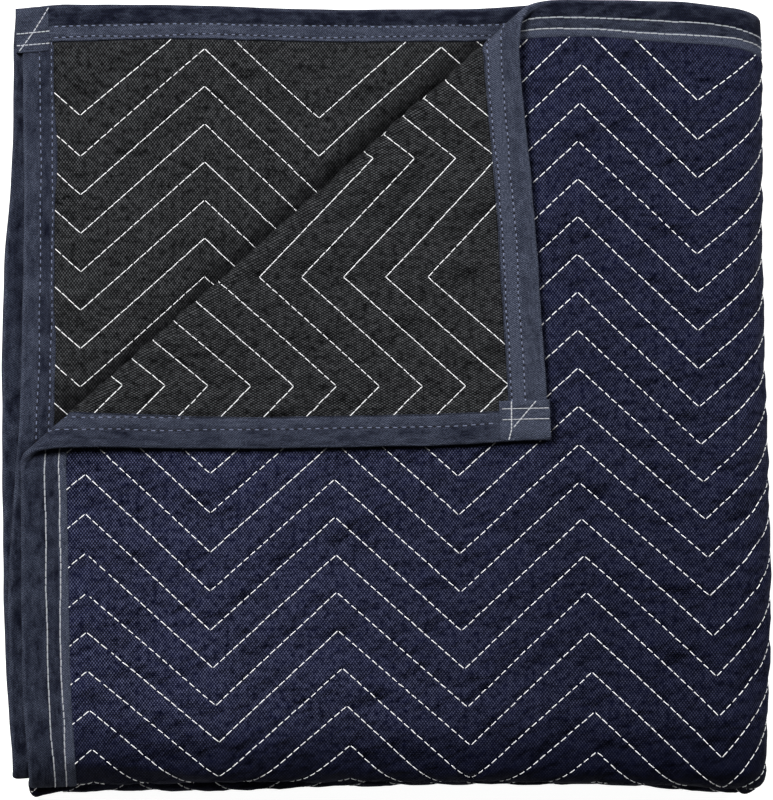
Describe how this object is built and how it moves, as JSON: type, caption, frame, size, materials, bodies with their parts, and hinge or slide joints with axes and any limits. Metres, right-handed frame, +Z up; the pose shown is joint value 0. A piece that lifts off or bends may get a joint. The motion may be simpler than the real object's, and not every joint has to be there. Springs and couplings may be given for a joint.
{
  "type": "folded quilted moving blanket",
  "caption": "Quilted moving blanket with bound edges, folded into a flat square stack with its top corner turned back.",
  "frame": {"origin": "centre of the bounding box's underside, on the face that rests", "axes": "+Z up from the resting face, +Y towards the bound edges at the top of the stack, +X towards the last fold"},
  "size_m": [0.4616, 0.4748, 0.0526],
  "materials": {
    "navy_cloth": "matt nonwoven cloth, quilted",
    "black_cloth": "matt nonwoven cloth, quilted",
    "slate_binding": "matt napped tape"
  },
  "bodies": {
    "root": {"face_cloth": "navy_cloth", "backing_cloth": "black_cloth", "binding_left": "slate_binding", "binding_bottom": "slate_binding", "binding_right": "slate_binding", "binding_top": "slate_binding"}
  },
  "joints": []
}
